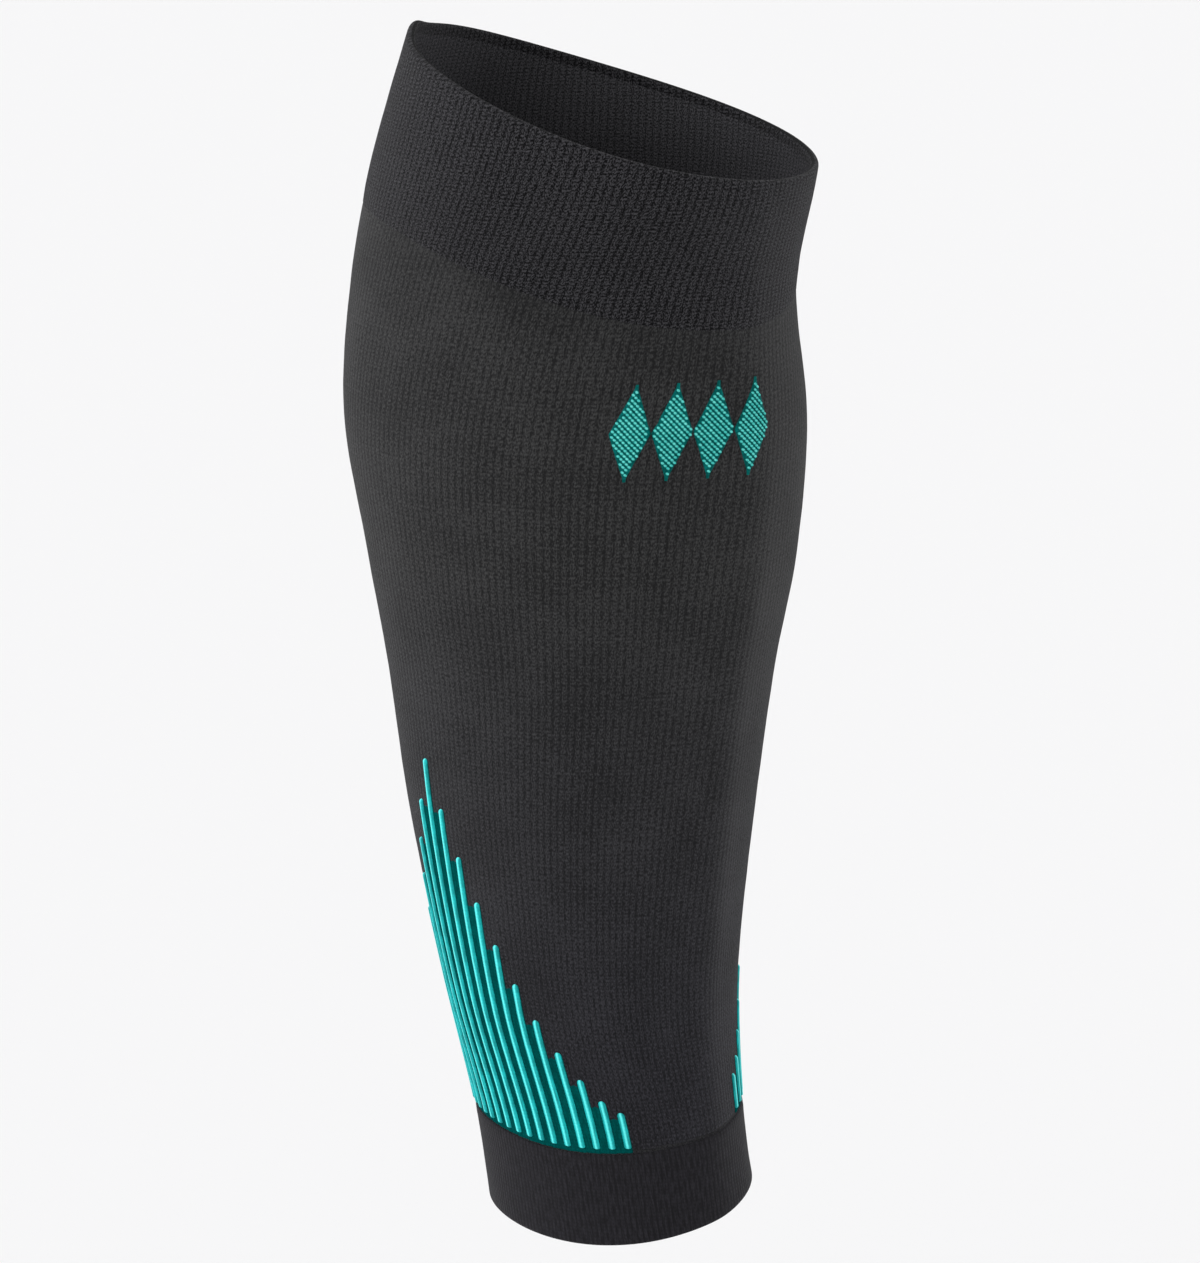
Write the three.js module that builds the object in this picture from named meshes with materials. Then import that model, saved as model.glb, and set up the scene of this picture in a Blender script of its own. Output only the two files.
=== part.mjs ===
// A calf compression sleeve for a right leg, as it stands when it is worn.
//
// It is one seamless knitted tube with three bands: a deep double-knit cuff below the knee, a
// long thinner body that follows the calf, and a short double-knit cuff above the ankle. Two
// fans of raised stripes rise from the ankle seam, one on each side of the leg, and a small row
// of lozenges sits high on the shin.
//
// Millimetres. +Z runs up the leg from the ankle edge, -Y is the shin, +Y the calf muscle and
// -X the outer side. The origin is the middle of the ankle opening. An angle round the leg is
// measured from the shin, and grows towards the outer side.

import * as THREE from 'three';

// The main form.
const sleeveLength = 294; // ankle edge to rim, along the leg
const calfWidth = 117; // the widest section, side to side
const calfDepth = 127; // the same section, shin to calf

// The knitted walls.
const knitWall = 1.4;
const cuffWall = 2.2;
const cuffStep = 0.4; // how far a cuff stands out over the body's face
const seamGap = 0.3; // between pieces that meet

// The cuffs, and how far the edges slope round the leg.
const topCuffHeight = 38.5;
const ankleCuffHeight = 23.5;
const rimRise = 17.2; // the rim is this much higher behind, and lower in front
const topSeamRise = 12.6;
const ankleEdgeRise = -3.5;
const ankleSeamRise = -1.5;
const rimDip = 1.5; // how far an edge also dips, twice round
const topSeamDip = 3.5;
const ankleDip = 1.8;

// The ribs, and the stripes that are knitted over every third rib.
const ribCount = 168;
const ribsPerStripe = 3;
const stripesPerFan = 21;
const firstOuterStripe = 5; // stripe places from the middle of the shin
const firstInnerStripe = 4;
const stripeWidth = 1.9;
const stripeRise = 0.5;
const stripeFlank = 0.3; // the sloped edge beside a stripe
const groundThickness = 0.4; // the dark knit that the stripes stand on
const groundBorder = 1.6; // how far that knit runs past the stripes
const longestStripe = 101;
const shortestStripe = 11;
const fanCurve = 1.44; // 1 makes the tips a straight slope, more makes them fall away faster

// The row of lozenges.
const lozengeCount = 4;
const lozengeWidth = 11;
const lozengeHeight = 24;
const lozengeNeck = 1.6; // the height left where two lozenges meet
const lozengeThickness = 0.5;
const lozengeRowDrop = 24; // from the top cuff's seam down to its middle
const lozengeRowAt = 15; // the rib at its middle, in degrees

// The shin's crest: a soft ridge under the knit.
const crestAt = -4; // degrees
const crestSpread = 12; // degrees to half of its height

// How finely the faces are cut.
const columnCount = 64;
const bodyRows = 16;
const cuffRows = 3;
const stripeRows = 5;
const rimRounding = [0, 30, 60]; // degrees round the edge of a cuff's wall

// Sections up the leg, each as shares of the named sizes: height of sleeveLength, width of
// calfWidth, depth, shift back and crest of calfDepth, shift sideways of calfWidth. The ribs
// twist a little on the leg, and lean is how many degrees they have turned by that height.
const sections = [
  { height: -0.05, width: 0.595, depth: 0.615, back: -0.035, side: 0, crest: 0, lean: 0 },
  { height: 0, width: 0.58, depth: 0.6, back: 0, side: 0, crest: 0.004, lean: 0 },
  { height: 0.08, width: 0.58, depth: 0.605, back: 0.045, side: 0, crest: 0.012, lean: 0 },
  { height: 0.2, width: 0.645, depth: 0.655, back: 0.1, side: -0.005, crest: 0.022, lean: 4.6 },
  { height: 0.35, width: 0.755, depth: 0.755, back: 0.125, side: -0.01, crest: 0.03, lean: 3.4 },
  { height: 0.5, width: 0.855, depth: 0.845, back: 0.122, side: -0.015, crest: 0.034, lean: 1.2 },
  { height: 0.6, width: 0.938, depth: 0.93, back: 0.115, side: -0.02, crest: 0.034, lean: 1 },
  { height: 0.72, width: 1, depth: 1, back: 0.135, side: -0.02, crest: 0.032, lean: -2.2 },
  { height: 0.84, width: 0.965, depth: 0.948, back: 0.15, side: -0.01, crest: 0.022, lean: -9.5 },
  { height: 0.95, width: 0.962, depth: 0.917, back: 0.052, side: -0.034, crest: 0.01, lean: -15.5 },
  { height: 1.08, width: 0.927, depth: 0.783, back: 0.018, side: 0.01, crest: 0.004, lean: -20 },
];

// The four edges round the leg. Each slopes once round, and dips twice round.
const edges = {
  ankle: { height: 0, rise: ankleEdgeRise, riseAt: 130, dip: ankleDip, dipAt: 40 },
  ankleSeam: { height: ankleCuffHeight, rise: ankleSeamRise, riseAt: 130, dip: ankleDip, dipAt: 40 },
  topSeam: {
    height: sleeveLength - topCuffHeight, rise: topSeamRise, riseAt: 165, dip: topSeamDip, dipAt: 8,
  },
  rim: { height: sleeveLength, rise: rimRise, riseAt: 149, dip: rimDip, dipAt: 33 },
};

const fullTurn = 360;
const radians = THREE.MathUtils.degToRad;

// The slope of one share at section i, from the sections on both sides of it.
function slopeAt(i, share) {
  const before = sections[Math.max(i - 1, 0)];
  const after = sections[Math.min(i + 1, sections.length - 1)];
  return (after[share] - before[share]) / (after.height - before.height);
}

// A share at any height: a smooth cubic from each section to the next.
function shareAt(height, share) {
  let i = 0;
  while (i < sections.length - 2 && height > sections[i + 1].height) i += 1;
  const span = sections[i + 1].height - sections[i].height;
  const t = (height - sections[i].height) / span;
  const rise = sections[i + 1][share] - sections[i][share];
  const leave = slopeAt(i, share) * span;
  const arrive = slopeAt(i + 1, share) * span;
  return sections[i][share] + t * leave
    + t * t * (3 * rise - 2 * leave - arrive) + t * t * t * (leave + arrive - 2 * rise);
}

// The distance from a section's middle to the body's face: an ellipse, and the crest on it.
function radiusAt(angle, z) {
  const height = z / sleeveLength;
  const halfWidth = shareAt(height, 'width') * calfWidth / 2;
  const halfDepth = shareAt(height, 'depth') * calfDepth / 2;
  const fromCrest = THREE.MathUtils.euclideanModulo(angle - crestAt + fullTurn / 2, fullTurn) - fullTurn / 2;
  const crest = shareAt(height, 'crest') * calfDepth / (1 + (fromCrest / crestSpread) ** 2);
  const turn = radians(angle);
  return crest + 1 / Math.hypot(Math.sin(turn) / halfWidth, Math.cos(turn) / halfDepth);
}

// A point at an angle and a height, lifted off the body's face by some millimetres.
function legPoint(angle, z, lift) {
  const height = z / sleeveLength;
  const radius = radiusAt(angle, z) + lift;
  const turn = radians(angle);
  return new THREE.Vector3(
    shareAt(height, 'side') * calfWidth - radius * Math.sin(turn),
    shareAt(height, 'back') * calfDepth - radius * Math.cos(turn),
    z,
  );
}

// The angle of a rib at a height, from its angle at the ankle.
function ribAngle(angle, z) {
  return angle + shareAt(z / sleeveLength, 'lean');
}

function edgeHeight(edge, angle) {
  return edge.height + edge.rise * Math.cos(radians(angle - edge.riseAt))
    - edge.dip * Math.cos(2 * radians(angle - edge.dipAt));
}

// A closed solid from wall sections that stand side by side round the leg. Each wall section
// is a loop of points, up the outside and down the inside, so point i and the point as far
// from the loop's end face each other through the wall. Without wrap the two ends are capped.
function wallSolid(wallSections, wrap) {
  const loop = wallSections[0].length;
  const points = wallSections.flat();
  const faces = [];
  const quad = (a, b, c, d) => faces.push(a, b, c, a, c, d);
  const count = wallSections.length;
  for (let j = 0; j < (wrap ? count : count - 1); j += 1) {
    const here = j * loop;
    const next = ((j + 1) % count) * loop;
    for (let i = 0; i < loop; i += 1) {
      const up = (i + 1) % loop;
      quad(here + i, here + up, next + up, next + i);
    }
  }
  const last = (count - 1) * loop;
  for (let i = 0; !wrap && i < loop / 2 - 1; i += 1) {
    const facing = loop - 1 - i;
    quad(i, facing, facing - 1, i + 1);
    quad(last + i, last + i + 1, last + facing - 1, last + facing);
  }
  const geometry = new THREE.BufferGeometry();
  geometry.setAttribute('position', new THREE.Float32BufferAttribute(points.flatMap((p) => p.toArray()), 3));
  geometry.setIndex(faces);
  geometry.computeVertexNormals();
  return geometry;
}

// A wall section at one angle, from rows of { z, lift } up its outside and a thickness.
function wallSection(angle, rows, thicknessAt) {
  const outside = rows.map(({ z, lift }) => legPoint(angle, z, lift));
  const inside = rows.map(({ z, lift }, i) => legPoint(angle, z, lift - thicknessAt(i)));
  return [...outside, ...inside.reverse()];
}

function anglesRound() {
  return Array.from({ length: columnCount }, (_, j) => fullTurn * j / columnCount);
}

// The thin body between the two seams.
function knitBody() {
  const tube = anglesRound().map((angle) => {
    const low = edgeHeight(edges.ankleSeam, angle) + seamGap;
    const high = edgeHeight(edges.topSeam, angle) - seamGap;
    const rows = Array.from({ length: bodyRows }, (_, i) => (
      { z: THREE.MathUtils.lerp(low, high, i / (bodyRows - 1)), lift: 0 }));
    return wallSection(angle, rows, () => knitWall);
  });
  return wallSolid(tube, true);
}

// A double-knit cuff. Its free edge, at the top or at the bottom, is rounded over.
function cuff(lowEdge, highEdge, roundedAtTop) {
  const round = cuffWall / 2;
  const tube = anglesRound().map((angle) => {
    const low = edgeHeight(lowEdge, angle) + (roundedAtTop ? 0 : round);
    const high = edgeHeight(highEdge, angle) - (roundedAtTop ? round : 0);
    const plain = Array.from({ length: cuffRows }, (_, i) => (
      { z: THREE.MathUtils.lerp(low, high, i / cuffRows), inset: 0 }));
    const freeEnd = rimRounding.map((degrees) => (
      { rise: round * Math.sin(radians(degrees)), inset: round * (1 - Math.cos(radians(degrees))) }));
    const rows = roundedAtTop
      ? [...plain, ...freeEnd.map(({ rise, inset }) => ({ z: high + rise, inset }))]
      : [...freeEnd.reverse().map(({ rise, inset }) => ({ z: low - rise, inset })),
        ...plain.slice(1), { z: high, inset: 0 }];
    const lifted = rows.map(({ z, inset }) => ({ z, lift: cuffStep - inset, inset }));
    return wallSection(angle, lifted, (i) => cuffWall - 2 * lifted[i].inset);
  });
  return wallSolid(tube, true);
}

// How long stripe i of a fan is: the middle one is longest, and the tips fall away.
function stripeLength(i) {
  const reach = (stripesPerFan - 1) / 2;
  const steps = Math.abs(i - reach);
  return shortestStripe + (longestStripe - shortestStripe) * (1 - steps / reach) ** fanCurve;
}

// One fan: a skin of dark ground over the body, and stripes raised on it. Each stripe gives
// four wall sections, one at the foot and one at the top of both of its flanks.
function stripeFan(firstPlace) {
  const pitch = fullTurn * ribsPerStripe / ribCount;
  const flanks = Array.from({ length: stripesPerFan }).flatMap((_, i) => {
    const top = stripeWidth / 2;
    const foot = top + stripeFlank;
    const columns = [
      { i, offset: -foot, raised: 0 },
      { i, offset: -top, raised: 1 },
      { i, offset: top, raised: 1 },
      { i, offset: foot, raised: 0 },
    ];
    if (i === 0) columns.unshift({ i, offset: -foot - groundBorder, raised: 0 });
    if (i === stripesPerFan - 1) columns.push({ i, offset: foot + groundBorder, raised: 0 });
    return columns;
  });
  const patch = flanks.map(({ i, offset, raised }) => {
    const middle = (firstPlace + i) * pitch;
    const low = edgeHeight(edges.ankleSeam, middle) + seamGap;
    const tip = low + stripeLength(i);
    const face = seamGap + groundThickness;
    const rows = Array.from({ length: stripeRows }, (_, row) => (
      { z: THREE.MathUtils.lerp(low, tip, row / (stripeRows - 1)), lift: face + raised * stripeRise }));
    rows.push({ z: tip + groundBorder, lift: face });
    const angleAt = (z) => ribAngle(middle, z) + THREE.MathUtils.radToDeg(offset / radiusAt(middle, z));
    const outside = rows.map(({ z, lift }) => legPoint(angleAt(z), z, lift));
    const inside = rows.map(({ z }) => legPoint(angleAt(z), z, seamGap));
    return [...outside, ...inside.reverse()];
  });
  return wallSolid(patch, false);
}

// The lozenges, joined point to point into one band that follows the shin.
function lozengeRow() {
  const stations = 4 * lozengeCount;
  const angleAtSeam = ribAngle(lozengeRowAt, edges.topSeam.height);
  const middle = edgeHeight(edges.topSeam, angleAtSeam) - lozengeRowDrop;
  const radius = radiusAt(lozengeRowAt, middle);
  const halfHeights = [lozengeNeck / 2, (lozengeNeck + lozengeHeight) / 4, lozengeHeight / 2];
  const band = Array.from({ length: stations + 1 }, (_, j) => {
    const along = (j / 4 - lozengeCount / 2) * lozengeWidth;
    const angle = lozengeRowAt + THREE.MathUtils.radToDeg(along / radius);
    const half = halfHeights[2 - Math.abs(j % 4 - 2)];
    const heights = [-1, 0, 1].map((share) => middle + share * half);
    const outside = heights.map((z) => legPoint(ribAngle(angle, z), z, seamGap + lozengeThickness));
    const inside = heights.map((z) => legPoint(ribAngle(angle, z), z, seamGap));
    return [...outside, ...inside.reverse()];
  });
  return wallSolid(band, false);
}

function piece(name, geometry, color, roughness) {
  const mesh = new THREE.Mesh(geometry, new THREE.MeshStandardMaterial({ color, roughness, metalness: 0 }));
  mesh.name = name;
  return mesh;
}

const sleeve = new THREE.Group();
sleeve.name = 'calf_sleeve';
sleeve.add(
  piece('top_cuff', cuff(edges.topSeam, edges.rim, true), 0x2e2e2e, 0.95),
  piece('knit_body', knitBody(), 0x2d2d2e, 0.92),
  piece('ankle_cuff', cuff(edges.ankle, edges.ankleSeam, false), 0x29282c, 0.9),
  piece('outer_stripe_fan', stripeFan(firstOuterStripe), 0x34ccc0, 0.7),
  piece('inner_stripe_fan', stripeFan(1 - firstInnerStripe - stripesPerFan), 0x34ccc0, 0.7),
  piece('lozenge_row', lozengeRow(), 0x34ccc0, 0.7),
);

export default sleeve;
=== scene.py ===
# %% [markdown]
# # A knitted calf sleeve
#
# The object is a calf compression sleeve: one seamless tube of charcoal knit, with a deep cuff
# under the knee, a short cuff over the ankle, two fans of raised teal stripes and a row of
# knitted lozenges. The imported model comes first, as a fixed frame of plain solids at real size.
# Every piece below is a finer surface that stands where one of those solids is.

# %% Load the frame
from math import cos, pi, radians, sin

import bpy
import numpy as np
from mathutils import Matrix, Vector


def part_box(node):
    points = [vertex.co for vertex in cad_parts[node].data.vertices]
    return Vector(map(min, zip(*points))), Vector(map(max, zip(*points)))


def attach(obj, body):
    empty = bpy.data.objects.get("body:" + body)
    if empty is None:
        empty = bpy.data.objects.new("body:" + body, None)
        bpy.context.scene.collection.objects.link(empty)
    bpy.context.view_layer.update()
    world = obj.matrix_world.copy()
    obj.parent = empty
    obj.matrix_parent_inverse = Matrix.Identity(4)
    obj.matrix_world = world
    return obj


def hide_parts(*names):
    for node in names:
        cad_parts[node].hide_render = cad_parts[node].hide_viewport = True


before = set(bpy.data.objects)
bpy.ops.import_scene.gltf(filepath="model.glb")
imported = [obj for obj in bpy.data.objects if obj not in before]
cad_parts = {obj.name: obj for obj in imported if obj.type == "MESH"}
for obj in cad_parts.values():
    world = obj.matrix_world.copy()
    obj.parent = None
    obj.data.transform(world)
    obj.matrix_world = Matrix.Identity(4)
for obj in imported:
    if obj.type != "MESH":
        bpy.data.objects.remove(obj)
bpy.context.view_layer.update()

MM = 0.001

# %% [markdown]
# ## The shape of the leg
#
# The cloth has no form of its own: it takes the leg's. A lower leg could be sculpted, or traced
# by a curve and lofted. A table of sections is shorter and easier to check: each row gives a
# height, and the width, depth, shift back, shift sideways and shin crest of the leg there, as
# shares of three sizes. A smooth cubic joins each row to the next. The ribs of the knit don't
# run quite straight up the leg, because the sleeve twists when it is pulled on. The table's last
# column, the lean, is how many degrees they have turned by that height.

# %% The table of sections
sections = np.array([
    (-0.05, 0.595, 0.615, -0.035, 0.000, 0.000, 0.0),
    (0.00, 0.580, 0.600, 0.000, 0.000, 0.004, 0.0),
    (0.08, 0.580, 0.605, 0.045, 0.000, 0.012, 0.0),
    (0.20, 0.645, 0.655, 0.100, -0.005, 0.022, 4.6),
    (0.35, 0.755, 0.755, 0.125, -0.010, 0.030, 3.4),
    (0.50, 0.855, 0.845, 0.122, -0.015, 0.034, 1.2),
    (0.60, 0.938, 0.930, 0.115, -0.020, 0.034, 1.0),
    (0.72, 1.000, 1.000, 0.135, -0.020, 0.032, -2.2),
    (0.84, 0.965, 0.948, 0.150, -0.010, 0.022, -9.5),
    (0.95, 0.962, 0.917, 0.052, -0.034, 0.010, -15.5),
    (1.08, 0.927, 0.783, 0.018, 0.010, 0.004, -20.0),
])
crest_at = -4
crest_spread = 12
full_turn = 360
half_turn = full_turn / 2
print(len(sections), "sections, with the crest of the shin at", crest_at, "degrees")


def shares(height):
    """Shares at a height: a cubic between sections, whose slope at a section is that of the
    straight line from the section before it to the one after it."""
    rows, values = sections[:, 0], sections[:, 1:]
    before = np.maximum(np.arange(len(rows)) - 1, 0)
    after = np.minimum(np.arange(len(rows)) + 1, len(rows) - 1)
    slopes = (values[after] - values[before]) / (rows[after] - rows[before])[:, None]
    i = np.clip(np.searchsorted(rows, height) - 1, 0, len(rows) - 2)
    span = (rows[i + 1] - rows[i])[..., None]
    t = (height - rows[i])[..., None] / span
    rise = values[i + 1] - values[i]
    leave, arrive = slopes[i] * span, slopes[i + 1] * span
    curve = t**2 * (3 * rise - 2 * leave - arrive) + t**3 * (leave + arrive - 2 * rise)
    return np.moveaxis(values[i] + t * leave + curve, -1, 0)


# %% [markdown]
# A point on the leg has an angle, a height and a lift. The angle is measured from the shin and
# grows towards the outer side. The lift is how far the point stands off the cloth's face, so
# ribs, stripes and walls are all lifts of one surface.

# %% A point on the leg


def leg_point(angle, z, lift, length, width, depth):
    """Each section is an ellipse with radius 1 / length of (sine / half width, cosine / half
    depth), and a bell-shaped crest is added to it at the shin."""
    angle, z, lift = np.broadcast_arrays(angle, z, lift)
    wide, deep, back, side, crest = shares(z / length)[:-1]
    turn = np.radians(angle)
    ellipse = 1 / np.hypot(np.sin(turn) / (wide * width / 2), np.cos(turn) / (deep * depth / 2))
    from_crest = (angle - crest_at + half_turn) % full_turn - half_turn
    radius = ellipse + crest * depth / (1 + (from_crest / crest_spread) ** 2) + lift
    x = side * width - radius * np.sin(turn)
    y = back * depth - radius * np.cos(turn)
    return np.stack([x, y, z], axis=-1)


# %% [markdown]
# Four edges go round the leg: the ankle edge, the two seams of the cuffs and the rim. Each
# slopes once round the leg and dips twice round. The sleeve's length, width and depth come
# from the frame: the table is measured at unit size, and the frame's boxes give the scale.

# %% The edges, and the sizes that the frame gives
top_cuff_height = 38.5 * MM
ankle_cuff_height = 23.5 * MM


def wave(angle, rise, rise_at, dip, dip_at):
    """A slope, cosine of the angle, less a dip, cosine of twice the angle."""
    turn = np.radians(angle)
    slope = rise * np.cos(turn - radians(rise_at))
    return slope - dip * np.cos(2 * (turn - radians(dip_at)))


all_round = np.arange(0, full_turn, 1.0)
rim_wave = (17.2 * MM, 149, 1.5 * MM, 33)
sleeve_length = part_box("top_cuff")[1][2] - wave(all_round, *rim_wave).max()
edges = {
    "ankle": (0, -3.5 * MM, 130, 1.8 * MM, 40),
    "ankle_seam": (ankle_cuff_height, -1.5 * MM, 130, 1.8 * MM, 40),
    "top_seam": (sleeve_length - top_cuff_height, 12.6 * MM, 165, 3.5 * MM, 8),
    "rim": (sleeve_length, *rim_wave),
}


def edge(name, angle):
    """The height of an edge at an angle: its mean height and its wave."""
    return edges[name][0] + wave(angle, *edges[name][1:])


# %% Measure the table at unit width and depth
up_the_body = np.linspace(0, 1, 60)[:, None]
body_z = edge("ankle_seam", all_round) * (1 - up_the_body) + edge("top_seam", all_round) * up_the_body
unit = np.ptp(leg_point(all_round, body_z, 0, sleeve_length, 1, 1).reshape(-1, 3), axis=0)
body_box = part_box("knit_body")
calf_width = (body_box[1][0] - body_box[0][0]) / unit[0]
calf_depth = (body_box[1][1] - body_box[0][1]) / unit[1]
leg_sizes = (sleeve_length, calf_width, calf_depth)
print("length, calf width and depth in mm:", [round(v / MM, 1) for v in leg_sizes])


def rib_angle(rib, z):
    """The angle that a rib has reached at a height: its angle at the ankle and the lean."""
    return rib + shares(z / sleeve_length)[-1]


def cloth(rib, z, lift=0.0):
    """A point on this sleeve's cloth, by the rib's angle at the ankle, the height and the lift."""
    return leg_point(rib_angle(rib, z), z, lift, sleeve_length, calf_width, calf_depth)


def cloth_radius(rib, z):
    """The distance of the cloth from the middle of its section."""
    back, side = shares(z / sleeve_length)[2:4]
    middle = np.stack([side * calf_width, back * calf_depth], axis=-1)
    return np.linalg.norm(cloth(rib, z)[..., :2] - middle, axis=-1)


def crossing(name, rib):
    """The height at which a rib meets an edge. It starts from the edge's height at the rib's
    foot, and then a few times takes the edge's height at the angle that the rib has reached."""
    z = edge(name, rib)
    for _ in range(5):
        z = edge(name, rib_angle(rib, z))
    return z


# %% [markdown]
# ## The camera, the floor and the light
#
# The picture is taken from the outer front side, a little from above, with a long lens that
# keeps the leg's edges nearly parallel. The sleeve is held up as a leg holds it, so the floor
# lies well below it, and at this angle the pale floor fills the whole background.

# %% Camera
view_azimuth = radians(-40)
view_height = radians(12.5)
view_distance = 1.150
aim = Vector((-2.5, 6.3, 154.2)) * MM
pixels_per_mm = 3.8
image_long_side = 1263
sensor_mm = 36


def towards(azimuth, height):
    """The direction with an azimuth, from the shin's side, and a height, both in radians."""
    return Vector((sin(azimuth) * cos(height), -cos(azimuth) * cos(height), sin(height)))


away = towards(view_azimuth, view_height)
camera_data = bpy.data.cameras.new("camera")
camera_data.sensor_width = sensor_mm
camera_data.lens = pixels_per_mm / MM * view_distance / image_long_side * sensor_mm
camera = bpy.data.objects.new("camera", camera_data)
camera.location = aim + away * view_distance
camera.rotation_mode = "QUATERNION"
camera.rotation_quaternion = (-away).to_track_quat("-Z", "Y")
bpy.context.collection.objects.link(camera)
bpy.context.scene.camera = camera
print("lens in mm:", round(camera_data.lens, 1))

# %% Plain floor
floor_height = -450 * MM
floor_reach = 30000 * MM
pale_grey = (0.885, 0.885, 0.885, 1)
floor_mesh = bpy.data.meshes.new("floor")
corners = np.array([(-1, -1, 0), (1, -1, 0), (1, 1, 0), (-1, 1, 0)]) * floor_reach
floor_mesh.from_pydata(corners + (0, 0, floor_height), [], [(0, 1, 2, 3)])
floor = bpy.data.objects.new("floor", floor_mesh)
bpy.context.collection.objects.link(floor)

floor_paint = bpy.data.materials.new("pale_floor")
floor_paint.use_nodes = True
floor_shader = floor_paint.node_tree.nodes["Principled BSDF"]
floor_shader.inputs["Base Color"].default_value = pale_grey
floor_shader.inputs["Roughness"].default_value = 1.0
floor_shader.inputs["Specular IOR Level"].default_value = 0.0
floor_mesh.materials.append(floor_paint)
print("floor at", round(floor_height / MM), "mm")

# %% [markdown]
# The light is an even white sky and three wide suns: a key from the left above, and one low on
# each side, which draws the two edges out of the dark cloth.

# %% Soft light
sky_strength = 0.62
world = bpy.data.worlds.new("studio")
world.use_nodes = True
world.node_tree.nodes["Background"].inputs["Color"].default_value = (1, 1, 1, 1)
world.node_tree.nodes["Background"].inputs["Strength"].default_value = sky_strength
bpy.context.scene.world = world
bpy.context.scene.view_settings.view_transform = "Standard"


def soft_light(name, azimuth, height, strength, spread, colour=(1, 1, 1)):
    """A wide sun that shines from an azimuth and a height. They and its spread are in degrees."""
    source = towards(radians(azimuth), radians(height))
    data = bpy.data.lights.new(name, "SUN")
    data.energy = strength
    data.angle = radians(spread)
    data.color = colour
    light = bpy.data.objects.new(name, data)
    light.rotation_mode = "QUATERNION"
    light.rotation_quaternion = source.to_track_quat("Z", "Y")
    bpy.context.collection.objects.link(light)
    print(name, "light from azimuth", azimuth, "at strength", strength)


soft_light("key", azimuth=-75, height=50, strength=1.1, spread=60)
soft_light("left_edge", azimuth=-140, height=20, strength=1.4, spread=50, colour=(0.96, 0.95, 1))
soft_light("right_edge", azimuth=75, height=4, strength=0.75, spread=20, colour=(0.96, 0.96, 1))

# %% [markdown]
# ## Knit materials
#
# A knit is rows of loops. Seen close, each column of loops, a wale, is a string of small V
# shapes, one for each row, or course. The ribs themselves are real geometry. The loops on them
# are too fine for that, so they are a bump pattern in the cloth's own map, which counts wales
# one way and courses the other. Every knit below uses two groups. One makes the loops. The
# other makes what uneven yarn gives, a fine mottle and a slow cloud, and dashes in the furrows,
# which are painted shade.

# %% A helper for node trees


def wire(tree, kind, settings=None, **inputs):
    """Adds a node, sets its properties, and fills its inputs: a socket is linked, and any other
    value is set. An input is named in lower case with underscores, or in_0, in_1 by number."""
    node = tree.nodes.new(kind)
    for key, value in (settings or {}).items():
        setattr(node, key, value)
    for key, value in inputs.items():
        if key.startswith("in_"):
            socket = node.inputs[int(key[3:])]
        else:
            socket = next(s for s in node.inputs if s.name.lower().replace(" ", "_") == key)
        if isinstance(value, bpy.types.NodeSocket):
            tree.links.new(value, socket)
        else:
            socket.default_value = value
    return node.outputs[0]


def maths(tree, operation, a, b=0.0, c=0.0):
    """One Math node."""
    return wire(tree, "ShaderNodeMath", {"operation": operation}, in_0=a, in_1=b, in_2=c)


def new_group(name, inputs, outputs):
    """An empty shader group with named value inputs and outputs."""
    group = bpy.data.node_groups.new(name, "ShaderNodeTree")
    for label, value in inputs.items():
        socket = group.interface.new_socket(label, in_out="INPUT", socket_type="NodeSocketFloat")
        socket.default_value = value
    for label in outputs:
        group.interface.new_socket(label, in_out="OUTPUT", socket_type="NodeSocketFloat")
    return group, group.nodes.new("NodeGroupInput").outputs, group.nodes.new("NodeGroupOutput").inputs


# %% Helpers for colours and ramps


def blend(tree, factor, first, second, kind="MIX"):
    """Mixes two colours by a factor. Each is a socket, or a fixed colour as three numbers."""
    mix = tree.nodes.new("ShaderNodeMix")
    mix.data_type = "RGBA"
    mix.blend_type = kind
    tree.links.new(factor, mix.inputs[0])
    for socket, value in ((mix.inputs[6], first), (mix.inputs[7], second)):
        if isinstance(value, bpy.types.NodeSocket):
            tree.links.new(value, socket)
        else:
            socket.default_value = (*value, 1)
    return mix.outputs[2]


def ramp(tree, value, low, high, low_value=0.0, high_value=1.0):
    """A straight ramp from one value to another, held at both ends."""
    return wire(tree, "ShaderNodeMapRange", value=value, from_min=low, from_max=high,
                to_min=low_value, to_max=high_value)


# %% The loops of the knit
# A loop's height is the absolute sine of the course, which is bent back from the middle of the
# wale by the slant, times a cosine across the wale.
loops, given, result = new_group("knit_loops", {"Wales": 0.0, "Courses": 0.0, "Slant": 0.8}, ["Height"])
wale_share = maths(loops, "FRACT", maths(loops, "ADD", given["Wales"], 0.5))
across = maths(loops, "SUBTRACT", wale_share, 0.5)
bend = maths(loops, "MULTIPLY", maths(loops, "ABSOLUTE", across), given["Slant"])
leg_of_loop = maths(loops, "SUBTRACT", given["Courses"], bend)
ripple = maths(loops, "ABSOLUTE", maths(loops, "SINE", maths(loops, "MULTIPLY", leg_of_loop, pi)))
round_top = maths(loops, "COSINE", maths(loops, "MULTIPLY", across, pi))
loops.links.new(maths(loops, "MULTIPLY", ripple, round_top), result["Height"])
print("the loops' group has", len(loops.nodes), "nodes")
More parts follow.
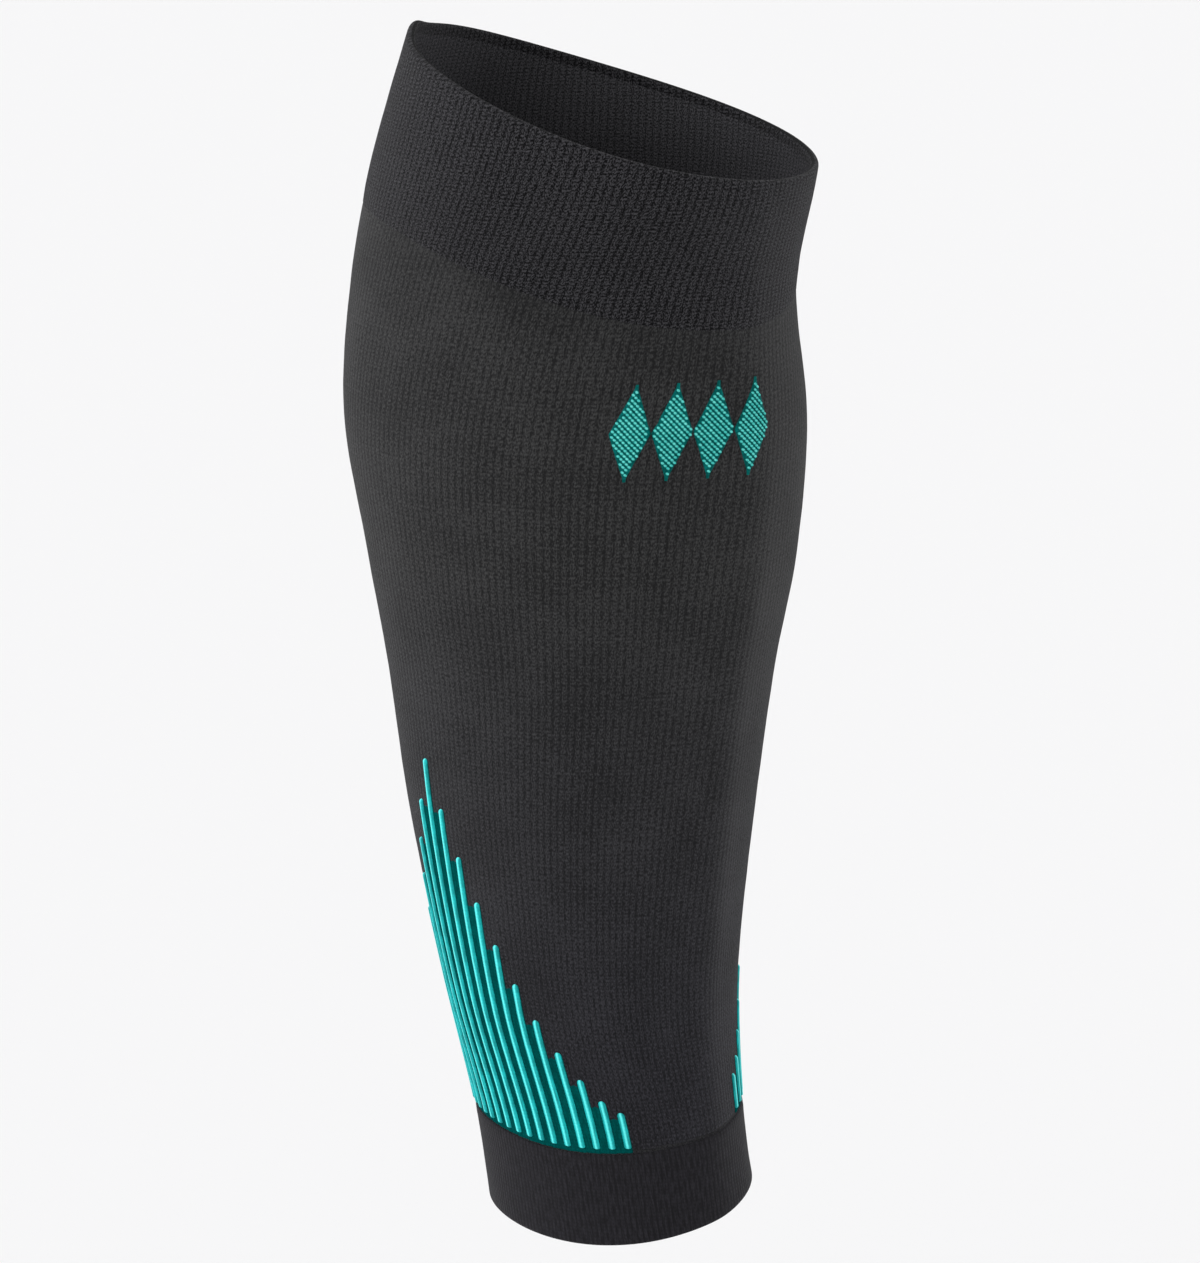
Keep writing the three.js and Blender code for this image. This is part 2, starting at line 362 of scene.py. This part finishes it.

# %% The uneven yarn, and painted shade in the furrows
# The mottle is a noise finer than a wale, and the cloud is one many wales wide. The dashes are
# painted shade in the furrows, cut to pieces by a third noise, which runs along them and differs
# from wale to wale.
cloud_per_wale, cloud_per_course = 0.09, 0.05
furrow_step = 7.3
dash_courses = 2.6
furrow_from, furrow_full = 0.75, 0.2
gate_from, gate_full = 0.46, 0.60
yarn, given, result = new_group("uneven_yarn",
                                {"Wales": 0.0, "Courses": 0.0, "Fineness": 3.2, "Dash Length": 3.0},
                                ["Mottle", "Cloud", "Dashes"])
fine_x = maths(yarn, "MULTIPLY", given["Wales"], given["Fineness"])
fine_y = maths(yarn, "DIVIDE", given["Courses"], given["Dash Length"])
fine = wire(yarn, "ShaderNodeCombineXYZ", x=fine_x, y=fine_y)
mottle = wire(yarn, "ShaderNodeTexNoise", vector=fine, scale=1.0, detail=2.0, roughness=0.6)

far_x = maths(yarn, "MULTIPLY", given["Wales"], cloud_per_wale)
far_y = maths(yarn, "MULTIPLY", given["Courses"], cloud_per_course)
far = wire(yarn, "ShaderNodeCombineXYZ", x=far_x, y=far_y)
cloud = wire(yarn, "ShaderNodeTexNoise", vector=far, scale=1.0, detail=2.0)

# The dashes are painted shade: darker in the furrows, broken up by noise.
ridge = maths(yarn, "ABSOLUTE", maths(yarn, "COSINE", maths(yarn, "MULTIPLY", given["Wales"], pi)))
furrow = ramp(yarn, ridge, furrow_from, furrow_full)
furrow_x = maths(yarn, "MULTIPLY", maths(yarn, "FLOOR", given["Wales"]), furrow_step)
furrow_y = maths(yarn, "DIVIDE", given["Courses"], dash_courses)
along = wire(yarn, "ShaderNodeCombineXYZ", x=furrow_x, y=furrow_y)
broken = wire(yarn, "ShaderNodeTexNoise", vector=along, scale=1.0, detail=1.0)
gate = ramp(yarn, broken, gate_from, gate_full)
yarn.links.new(mottle, result["Mottle"])
yarn.links.new(cloud, result["Cloud"])
yarn.links.new(maths(yarn, "MULTIPLY", furrow, gate), result["Dashes"])
print("the yarn's group has", len(yarn.nodes), "nodes")

# %% [markdown]
# The cloth's colour goes from a dark to a light one with the mottle. The body is darker and a
# little violet towards the ankle. Along a stripe's crown the colour is lighter on a narrow line,
# which is a painted highlight.

# %% A knit material
ribs_per_stripe = 3
loop_depth = 0.25 * MM
# Painted shade: the share of the loops' height in the colour.
loop_in_colour = 0.12
mottle_in_bump = 1.2
sheen_roughness = 0.45
deep_below, deep_above = 40.0, 190.0
deep_tint = (0.62, 0.59, 0.86)
crown_at, crown_edge, crown_core = 0.03, 0.11, 0.02


def painted_crown_highlight(tree, wales, colour, crown):
    """Paints a highlight: lightens a line near the middle of each stripe place. A place's distance
    from its middle is the wale over the ribs of a stripe, less the nearest whole number."""
    places = maths(tree, "DIVIDE", wales, ribs_per_stripe)
    from_line = maths(tree, "SUBTRACT", places, maths(tree, "ROUND", places))
    from_crown = maths(tree, "ABSOLUTE", maths(tree, "SUBTRACT", from_line, crown_at))
    return blend(tree, ramp(tree, from_crown, crown_edge, crown_core), colour, crown)


def knit(name, dark, light, roughness, gloss=0.2, sheen=0.0, bump=0.4, relief=1.0, fineness=3.2,
         dash_length=3.0, tones=(0.36, 0.68), cloud=0.35, dashes=0.0, deepen=0.0, crown=None):
    """Knit cloth. Its tone is the mottle, plus shares of the cloud and the loops, less a share
    of the dashes. The loops' share is painted shade between the loops, and the dashes are painted
    shade in the furrows. The colour goes from dark to light between the two tones, which are first
    moved up by half of the cloud's and the loops' shares. The bump is the loops times their
    relief, plus a share of the mottle. The lower part can be darker, and a stripe's crown can have
    a painted highlight."""
    material = bpy.data.materials.new(name)
    material.use_nodes = True
    tree = material.node_tree
    shader = tree.nodes["Principled BSDF"]
    split = tree.nodes.new("ShaderNodeSeparateXYZ")
    tree.links.new(wire(tree, "ShaderNodeUVMap", {"uv_map": "knit"}), split.inputs[0])
    wales, courses = split.outputs[0], split.outputs[1]
    loop = wire(tree, "ShaderNodeGroup", {"node_tree": loops}, wales=wales, courses=courses)
    uneven = wire(tree, "ShaderNodeGroup", {"node_tree": yarn}, wales=wales, courses=courses,
                  fineness=fineness, dash_length=dash_length).node.outputs
    tone = maths(tree, "MULTIPLY_ADD", uneven["Cloud"], cloud, uneven["Mottle"])
    # Painted shade: the dashes darken the furrows.
    tone = maths(tree, "MULTIPLY_ADD", uneven["Dashes"], -dashes, tone)
    # Painted shade: the loops' height lightens their tops and leaves the hollows between them darker.
    tone = maths(tree, "MULTIPLY_ADD", loop, loop_in_colour, tone)
    shift = 0.5 * cloud + 0.5 * loop_in_colour
    colour = blend(tree, ramp(tree, tone, tones[0] + shift, tones[1] + shift), dark, light)
    # Darker and a little violet towards the ankle, by height.
    if deepen:
        share = ramp(tree, courses, deep_below, deep_above, deepen, 0.0)
        colour = blend(tree, share, colour, deep_tint, "MULTIPLY")
    # A painted highlight along a stripe's crown.
    if crown:
        colour = painted_crown_highlight(tree, wales, colour, crown)
    tree.links.new(colour, shader.inputs["Base Color"])
    grain = maths(tree, "MULTIPLY", uneven["Mottle"], mottle_in_bump)
    height = maths(tree, "MULTIPLY_ADD", loop, relief, grain)
    bumped = wire(tree, "ShaderNodeBump", strength=bump, distance=loop_depth, height=height)
    tree.links.new(bumped, shader.inputs["Normal"])
    shader.inputs["Roughness"].default_value = roughness
    shader.inputs["Specular IOR Level"].default_value = gloss
    shader.inputs["Sheen Weight"].default_value = sheen
    shader.inputs["Sheen Roughness"].default_value = sheen_roughness
    print(name, "has", len(tree.nodes), "nodes")
    return material


# %% [markdown]
# The charcoal cloths are nearly the same yarn. The body's shows its ribs and dashes, which are
# painted shade in its furrows. The cuffs are knitted double, which gives a dense grain with
# hardly a rib. A band of a cuff's round edge has a near-black cloth, which is painted shade on
# the fold, and the inside of a cuff is the yarn's fluffy back.

# %% Charcoal cloths
charcoal = knit("charcoal_knit", (0.008, 0.008, 0.0085), (0.046, 0.046, 0.0465), 0.9, sheen=0.05,
                bump=0.8, relief=0.25, fineness=6.0, dash_length=0.9, tones=(0.38, 0.66),
                cloud=0.2, dashes=0.08, deepen=0.6)
cuff_charcoal = knit("charcoal_cuff_knit", (0.0, 0.0, 0.0005), (0.053, 0.052, 0.057), 0.9,
                     gloss=0.14, sheen=0.05, bump=0.9, relief=0.15, fineness=6.5,
                     dash_length=0.55, tones=(0.42, 0.61), cloud=0.06, dashes=0.05)
inner_charcoal = knit("charcoal_inner_knit", (0.008, 0.008, 0.009), (0.080, 0.079, 0.086), 0.9,
                      bump=0.4, relief=0.3, fineness=6.5, dash_length=0.55, tones=(0.38, 0.64),
                      cloud=0.06)
ankle_charcoal = knit("charcoal_ankle_knit", (0.006, 0.0055, 0.0072), (0.019, 0.0178, 0.0225), 0.85,
                      sheen=0.04, bump=0.3, fineness=4.0, cloud=0.1, dashes=0.25)
# Painted shade: a near-black cloth for a band of each cuff's round edge.
painted_fold_shade = knit("charcoal_fold_knit", (0.004, 0.004, 0.0045), (0.009, 0.009, 0.010), 0.9)

# %% [markdown]
# Teal is used four ways: bright on the stripes, very dark on the ground between them, in
# between on the ground of the lozenges, and light on the lozenges' stitches.

# %% Teal cloths
# The crown colour is a painted highlight along each stripe.
teal = knit("teal_knit", (0.002, 0.31, 0.31), (0.008, 0.60, 0.60), 0.5, bump=0.35, dash_length=4.0,
            crown=(0.12, 0.95, 0.92))
teal_ground = knit("dark_teal_knit", (0.0002, 0.052, 0.050), (0.0006, 0.085, 0.080), 0.9, gloss=0.0)
teal_middle = knit("middle_teal_knit", (0.0005, 0.08, 0.074), (0.001, 0.16, 0.148), 0.8, gloss=0.05)
teal_dots = knit("light_teal_knit", (0.05, 0.55, 0.50), (0.16, 0.80, 0.72), 0.6)

# %% [markdown]
# ## Surfaces as grids
#
# Every shell below is a grid: one way round the leg, the other way along the wall's section. A
# tube's grid closes both ways, so its wall has an outside, two ends and an inside and no open
# edge. The map of the cloth counts wales along one way of the grid and courses up the leg.

# %% A mesh from a grid
rib_count = 168
columns_per_rib = 5
rib_angles = np.arange(rib_count * columns_per_rib) * full_turn / (rib_count * columns_per_rib)
course_height = 0.95 * MM
print(len(rib_angles), "columns round the leg")


def wale_at(angle):
    """The count of wales from the shin to an angle."""
    return angle * rib_count / full_turn


def quads(rows, columns, wrap_rows, wrap_columns):
    """Corner indexes, as (row, column), of every square of a grid, facing out of the leg."""
    r, c = np.meshgrid(np.arange(rows if wrap_rows else rows - 1),
                       np.arange(columns if wrap_columns else columns - 1), indexing="ij")
    r, c = r.ravel(), c.ravel()
    return np.stack([r, r + 1, r + 1, r], axis=-1), np.stack([c, c, c + 1, c + 1], axis=-1)


def mesh_object(name, points, faces, wales, materials, slots):
    """A smooth object from points, four-cornered faces, the wale at each face corner and the
    slot of each face. The course at a corner is its height over the course height."""
    mesh = bpy.data.meshes.new(name)
    mesh.from_pydata(points.reshape(-1, 3), [], faces)
    mesh.polygons.foreach_set("use_smooth", np.ones(len(faces), dtype=bool))
    courses = points.reshape(-1, 3)[faces.ravel(), 2] / course_height
    uv = mesh.uv_layers.new(name="knit")
    knit_map = np.stack([wales.ravel(), courses], axis=-1)
    uv.data.foreach_set("uv", knit_map.astype(np.float32).ravel())
    for material in materials:
        mesh.materials.append(material)
    mesh.polygons.foreach_set("material_index", slots.astype(np.int32))
    mesh.validate()
    thing = bpy.data.objects.new(name, mesh)
    bpy.context.collection.objects.link(thing)
    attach(thing, "root")
    print(name, "has", 2 * len(faces), "triangles")
    return thing


def tube(name, section_z, section_lift, materials, row_slots):
    """A closed tube round the leg. section_z and section_lift have a row for each point of the
    wall's section, up the outside and down the inside, and a column for each of rib_angles.
    Each row has a material slot."""
    points = cloth(rib_angles, section_z, section_lift)
    rows, columns = points.shape[:2]
    r, c = quads(rows, columns, True, True)
    wales = c * rib_count / columns
    faces = (r % rows) * columns + c % columns
    return mesh_object(name, points, faces, wales, materials, row_slots[r[:, 0]])


# %% [markdown]
# ## The ribs
#
# The cloth is ribbed: each wale stands as a soft round ridge, with a narrow furrow between it
# and the next. Tops lie on the cloth's face, so a furrow is a lift below it. The ridges aren't
# quite even: two slow sines make each one a little higher here and lower there. A faint ripple
# runs over all of it, where the cloth gathers.

# %% Rib relief
phase_step = 2.4
phase_back = 1.7
swell_share = 0.25
short_swell, long_swell = 3.1 * MM, 7.3 * MM
fine_length, middle_length, long_length = 1.6 * MM, 2.7 * MM, 7 * MM
fine_share, middle_share, long_share = 0.3, 0.3, 0.4
ripple_depth = 0.05 * MM


def ribs(angle, z, depth):
    """Lift of the ribs: 0 on a ridge, minus the depth in a furrow, by one minus the absolute
    cosine across the wale. The depth swells and fades along each rib, as the product of two
    sines whose phase differs from rib to rib."""
    wale = wale_at(angle)
    phase = np.round(wale) * phase_step
    short_wave, long_wave = np.sin(z / short_swell + phase), np.sin(z / long_swell - phase_back * phase)
    swell = 1 - swell_share + swell_share * short_wave * long_wave
    return -depth * swell * (1 - np.abs(np.cos(pi * wale)))


def ripples(angle, z, depth):
    """Faint waves up the leg: a weighted sum of three sines of the height. Each has its own
    length and is bent by a sine or cosine of the angle, so that no two crests run level."""
    turn = np.radians(angle)
    fine_wave = np.sin(z / fine_length + 3 * np.sin(2 * turn))
    middle_wave = np.sin(z / middle_length - 5 * np.sin(turn + 1) + 2)
    long_wave = np.sin(z / long_length + 4 * np.cos(3 * turn))
    return depth * (fine_share * fine_wave + middle_share * middle_wave + long_share * long_wave)


# %% [markdown]
# ## The body
#
# The body is the thin part between the cuffs. It is one tube. Its ends run a little way into
# the cuffs, as knitted cloth does. Close to the ankle seam it draws in, which gives a thin dark
# line there, and hardly at all at the top seam. The ribs fade out at both.

# %% Body
knit_wall = 1.4 * MM
body_rib_depth = 0.12 * MM
ankle_groove = 0.5 * MM
top_groove = 0.05 * MM
groove_reach = 0.8 * MM
ribs_fade = 2 * MM
body_rows = 85
inner_every = 12

low = crossing("ankle_seam", rib_angles)
high = crossing("top_seam", rib_angles)
near_seam = np.array([-1.5, 0, 0.4, 0.9, 1.6, 2.8]) * MM
middle = np.linspace(0, 1, body_rows + 1)[1:-1, None]
first, last = low + near_seam[:, None], high - near_seam[::-1, None]
outer_z = np.concatenate([first, first[-1] * (1 - middle) + last[0] * middle, last])
to_seam = np.minimum(outer_z - low, high - outer_z)
from_seam = np.clip(to_seam / ribs_fade, 0, 1)
rib_lift = ribs(rib_angles, outer_z, body_rib_depth) * from_seam
outer_lift = rib_lift + ripples(rib_angles, outer_z, ripple_depth)
groove = np.where(outer_z - low < high - outer_z, ankle_groove, top_groove)
outer_lift = outer_lift - groove * np.exp(-(to_seam / groove_reach) ** 2)
inner_z = outer_z[::-inner_every]
body_section = np.concatenate([outer_z, inner_z])
body_lift = np.concatenate([outer_lift, 0 * inner_z - knit_wall])
body = tube("knit_body_cloth", body_section, body_lift, [charcoal], np.zeros(len(body_section)))
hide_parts("knit_body")

# %% [markdown]
# ## The cuffs
#
# Each cuff is knitted double and folded at its free edge, so it is thicker than the body and
# its edge is round. The section of its wall is a long loop: up the outside, over the round
# edge, down the inside and back under the seam. A band of the round edge has a near-black cloth,
# which is painted shade on the fold, and the inside has the yarn's back. The rim of the top cuff
# isn't quite an even curve: at the outer back it rises to a soft corner.

# %% Cuffs
cuff_wall = 2.2 * MM
cuff_step = 0.4 * MM
edge_round = cuff_wall / 2
corner_at = 150
corner_spread = 12
corner_rise = 2.1 * MM
relief_fade = 1.5 * MM
seam_step_share = 0.15


def corner(rib):
    """The rise of the rim's soft corner: a bell round the leg."""
    return corner_rise * np.exp(-((rib - corner_at) / corner_spread) ** 2)


def cuff(name, low, high, free_edge_up, rib_depth, material, rows, painted_shade_turn, step_reach, small):
    """A cuff between two edges. Its section is straight, then half a circle at the free edge
    and a quarter circle with a small radius at the seam. The cuff steps out from the body
    within a reach of the seam. On the round edge, a band between two angles gets the near-black
    cloth, which is painted shade on the fold."""
    turn = np.radians(np.arange(0, 181, 15))[:, None]
    seam_turn = np.radians(np.arange(0, 91, 30))[:, None]
    t = np.linspace(0, 1, rows)[:, None]
    free, seam = (high, low) if free_edge_up else (low, high)
    way = 1 if free_edge_up else -1
    straight_from, straight_to = seam + way * small, free - way * edge_round
    up_z = straight_from * (1 - t) + straight_to * t
    over_z = straight_to + way * edge_round * np.sin(turn)
    over_lift = -edge_round * (1 - np.cos(turn))
    under_z = seam + way * small * (1 - np.sin(seam_turn))
    under_lift = -small * (1 - np.cos(seam_turn))
    zero = 0 * low
    z = np.concatenate([under_z[::-1] + zero, up_z[1:-1], over_z, up_z[::-1][1:-1],
                        [seam + way * small]])
    lift = np.concatenate([under_lift[::-1] + zero, 0 * up_z[1:-1], over_lift + zero,
                           -cuff_wall + 0 * up_z[1:-1], [zero - cuff_wall]])
    relief = ribs(rib_angles, z, rib_depth) + ripples(rib_angles, z, ripple_depth)
    outside = np.clip(1 + lift / edge_round, -1, 1)
    fade = np.clip((way * (free - z)) / relief_fade, 0, 1)
    step = cuff_step * np.clip(seam_step_share + np.abs(z - seam) / step_reach, 0, 1)
    lift = lift + step + relief * outside * fade
    round_from = len(under_z) + len(up_z) - 2
    round_to = round_from + len(turn)
    around = np.full(len(z), -1.0)
    around[round_from:round_to] = np.degrees(turn[:, 0])
    # Slot 1, a band of the round edge, is painted shade on the fold; slot 2 is the inside.
    slots = ((around >= painted_shade_turn[0]) & (around < painted_shade_turn[1])).astype(int)
    slots[round_to:] = 2
    if not free_edge_up:
        z, lift, slots = z[::-1], lift[::-1], np.roll(slots[::-1], -1)
    return tube(name, z, lift, [material, painted_fold_shade, inner_charcoal], slots)


rim = crossing("rim", rib_angles) + corner(rib_angles)
top = cuff("top_cuff_cloth", crossing("top_seam", rib_angles), rim, free_edge_up=True,
           rib_depth=0.14 * MM, material=cuff_charcoal, rows=22, painted_shade_turn=(90, 135),
           step_reach=6 * MM, small=0.25 * MM)
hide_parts("top_cuff")
ankle = cuff("ankle_cuff_cloth", crossing("ankle", rib_angles),
             crossing("ankle_seam", rib_angles), free_edge_up=False, rib_depth=0.06 * MM,
             material=ankle_charcoal, rows=14, painted_shade_turn=(30, 105), step_reach=1 * MM,
             small=0.5 * MM)
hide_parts("ankle_cuff")

# %% [markdown]
# ## The stripes
#
# Every third wale at the side of the leg is knitted in teal and stands up as a round cord, from
# the ankle seam to a tip. The tips rise to the middle of the fan and fall away again. Between
# and around the stripes the ground is a dark teal. A stripe is a closed bar: a ring of points,
# round above and shallow below, carried up the cloth and rounded at its tip.

# %% A bar of knit on the cloth
ring_points = 12
ring = np.arange(ring_points) * 2 * pi / ring_points
stripe_pitch = full_turn * ribs_per_stripe / rib_count
least_shrink = 0.0004
print("a stripe place is", round(stripe_pitch, 2), "degrees wide")


def bar(place, low, high, half_width, rise, sink, flat, tip_round, step=1.0 * MM):
    """A closed bar centred on a stripe place, from one height to another. Across, its top is a
    sine raised to the power flat. Near its tip, and over half that length near its foot, the
    width and the rise shrink as a circle."""
    foot_round = tip_round * 0.5
    rows = max(int((high - low) / step), 6)
    tip_rows = np.sin(np.linspace(0, pi / 2, 6)) * tip_round
    z = np.concatenate([low + foot_round * (1 - np.cos(np.linspace(0, pi / 2, 4))),
                        np.linspace(low + foot_round, high - tip_round, rows)[1:-1],
                        high - tip_round + tip_rows])[:, None]
    from_tip = np.clip((z - (high - tip_round)) / tip_round, 0, 1)
    from_foot = np.clip((low + foot_round - z) / foot_round, 0, 1)
    shrink = np.sqrt(np.clip(1 - np.maximum(from_tip, from_foot) ** 2, least_shrink, 1))
    angle = place * stripe_pitch
    across = half_width * np.cos(ring) * shrink
    up = np.sin(ring)
    profile = np.where(up > 0, rise * np.abs(up) ** flat, -sink * np.abs(up))
    lift = profile * shrink - (1 - shrink) * sink
    angles = angle + np.degrees(across / cloth_radius(angle + 0 * z, z))
    return cloth(angles, z + 0 * across, lift), wale_at(angles)


def bars_object(name, bars, materials, slots):
    """Joins bars into one object. Each bar's rings close on themselves, and each of its two
    ends is closed by a row of squares that reach from one side of the ring to the other."""
    all_points, all_faces, all_wales, all_slots = [], [], [], []
    base = 0
    for (points, wales), slot in zip(bars, slots):
        rows, columns = points.shape[:2]
        r, c = quads(rows, columns, False, True)
        faces = r * columns + c % columns
        half = np.arange(columns // 2 - 1)
        cap = np.stack([half, half + 1, columns - 2 - half, columns - 1 - half], axis=-1)
        end = (rows - 1) * columns
        faces = np.concatenate([faces[:, ::-1], cap[:, ::-1], cap + end])
        all_points.append(points.reshape(-1, 3))
        all_wales.append(wales.ravel()[faces])
        all_faces.append(faces + base)
        all_slots.append(np.full(len(faces), slot))
        base += rows * columns
    return mesh_object(name, np.concatenate(all_points), np.concatenate(all_faces),
                       np.concatenate(all_wales), materials, np.concatenate(all_slots))


# %% Fans
stripes_per_fan = 21
first_outer_stripe = 5
first_inner_stripe = 4
stripe_width = 1.9 * MM
ground_lift = 0.10 * MM
stripe_lift = 0.65 * MM
ground_border = 0.15 * MM
ground_sink = 0.5 * MM
ground_step = 2 * MM
stripe_sink = 0.3 * MM
stripe_foot = 1.4 * MM
ribbon_share = 0.7
ribbon_short = 1.0 * MM
longest_stripe = 101 * MM
shortest_stripe = 11 * MM
fan_curve = 1.44


def seam_foot(place):
    """The height of the ankle seam at a stripe place."""
    return float(crossing("ankle_seam", place * stripe_pitch))


def stripe_tip(place, i):
    """The height of the tip of a fan's stripe i. Its length goes from the shortest to the longest
    by a power of the share of the way in from the fan's edge to its middle."""
    half = (stripes_per_fan - 1) / 2
    inward = 1 - abs(i - half) / half
    return seam_foot(place) + (shortest_stripe + (longest_stripe - shortest_stripe) * inward ** fan_curve)


def fan(name, first_place, node):
    """A fan: for each stripe a flat dark pad and a raised stripe on it, and a flat dark ribbon
    between each stripe and the next."""
    places = [first_place + i for i in range(stripes_per_fan)]
    tips = [stripe_tip(place, i) for i, place in enumerate(places)]
    bars, slots = [], []
    for place, tip in zip(places, tips):
        foot = seam_foot(place)
        bars.append(bar(place, foot, tip + ground_border, stripe_width / 2 + ground_border,
                        ground_lift, ground_sink, flat=0.3, tip_round=1.2 * MM, step=ground_step))
        bars.append(bar(place, foot + stripe_foot, tip, stripe_width / 2, stripe_lift,
                        stripe_sink, flat=0.7, tip_round=stripe_width / 2))
        slots += [0, 1]
    for place, tip, next_tip in zip(places, tips, tips[1:]):
        between = place + 0.5
        foot = seam_foot(between)
        half_gap = 0.5 * radians(stripe_pitch) * float(cloth_radius(between * stripe_pitch, foot))
        bars.append(bar(between, foot, min(tip, next_tip) - ribbon_short, half_gap,
                        ribbon_share * ground_lift, ground_sink, flat=0.2, tip_round=1.5 * MM,
                        step=ground_step))
        slots.append(0)
    thing = bars_object(name, bars, [teal_ground, teal], slots)
    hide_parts(node)


fan("outer_fan_stripes", first_outer_stripe, "outer_stripe_fan")
fan("inner_fan_stripes", 1 - first_inner_stripe - stripes_per_fan, "inner_stripe_fan")

# %% [markdown]
# ## The row of lozenges
#
# High on the shin a small ornament is knitted in: four lozenges, point to point. Their ground
# is the middle teal, and on it the light yarn shows as small slanted stitches, one on every
# other place of a fine grid, as in any two-coloured knit.

# %% Lozenges
lozenge_count = 4
lozenge_width = 11 * MM
lozenge_height = 24 * MM
lozenge_drop = 24 * MM
lozenge_at = 15
lozenge_rows = 21
lozenge_flat = 0.2
thinnest = 0.4 * MM
stitch_across = 0.78 * MM
stitch_up = 0.68 * MM
stitch_size = (0.52 * MM, 0.33 * MM, 0.30 * MM)
stitch_slant = radians(30)
stitch_float = 0.1 * MM
stitch_blunt = 0.94
grid_across, grid_up = 80, 40
keep_inside = 0.92

row_z = float(edge("top_seam", rib_angle(lozenge_at, edges["top_seam"][0]))) - lozenge_drop
row_radius = float(cloth_radius(lozenge_at, row_z))


def lozenge_ground(middle):
    """A thin closed lozenge: rings whose half width falls as a straight line towards each point.
    Across, its top is a sine raised to a power, as a bar's is."""
    up = np.linspace(-1, 1, lozenge_rows)[:, None]
    half = np.maximum((1 - np.abs(up)) * (lozenge_width / 2), thinnest)
    across = middle + half * np.cos(ring)
    side = np.sin(ring)
    profile = np.where(side > 0, ground_lift * np.abs(side) ** lozenge_flat, -ground_sink * np.abs(side))
    angles = lozenge_at + np.degrees(across / row_radius)
    z = row_z + up * lozenge_height / 2 + 0 * across
    return cloth(angles, z, profile + 0 * across), wale_at(angles)


def stitch_centres():
    """Places of the stitches, across and up: a chequered grid, kept where it lies well inside a
    lozenge. Its two shares of the half sizes add up to one at a lozenge's edge, and to less
    than keep_inside where a stitch is kept."""
    wide = lozenge_count * lozenge_width
    i, j = np.meshgrid(np.arange(-grid_across, grid_across + 1), np.arange(-grid_up, grid_up + 1))
    keep = (i + j) % 2 == 0
    x, y = i[keep] * stitch_across, j[keep] * stitch_up
    nearest = np.floor(x / lozenge_width + lozenge_count / 2)
    middle = (nearest + 0.5 - lozenge_count / 2) * lozenge_width
    share = np.abs(x - middle) / (lozenge_width / 2) + np.abs(y) / (lozenge_height / 2)
    inside = (share < keep_inside) & (np.abs(x) < wide / 2)
    return x[inside], y[inside]


def stitches():
    """Every stitch as a small egg: rings of six points along its length, slanted."""
    x, y = stitch_centres()
    along = np.sin(np.linspace(0.5, -0.5, 5) * pi * stitch_blunt)[:, None]
    girth = np.sqrt(1 - along**2)
    six = np.arange(6) * 2 * pi / 6
    a = stitch_size[0] * along + 0 * six
    b = stitch_size[1] * girth * np.cos(six)
    n = stitch_size[2] * girth * np.sin(six) + ground_lift + stitch_float
    across = a * cos(stitch_slant) - b * sin(stitch_slant)
    up = a * sin(stitch_slant) + b * cos(stitch_slant)
    angles = lozenge_at + np.degrees((x[:, None, None] + across) / row_radius)
    points = cloth(angles, row_z + y[:, None, None] + up, n + 0 * angles)
    return list(zip(points, wale_at(angles)))


middles = [(i + 0.5 - lozenge_count / 2) * lozenge_width for i in range(lozenge_count)]
grounds = [lozenge_ground(middle) for middle in middles]
dots = stitches()
slots = [0] * len(grounds) + [1] * len(dots)
lozenges = bars_object("lozenge_stitches", grounds + dots, [teal_middle, teal_dots], slots)
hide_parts("lozenge_row")
print(len(dots), "stitches")
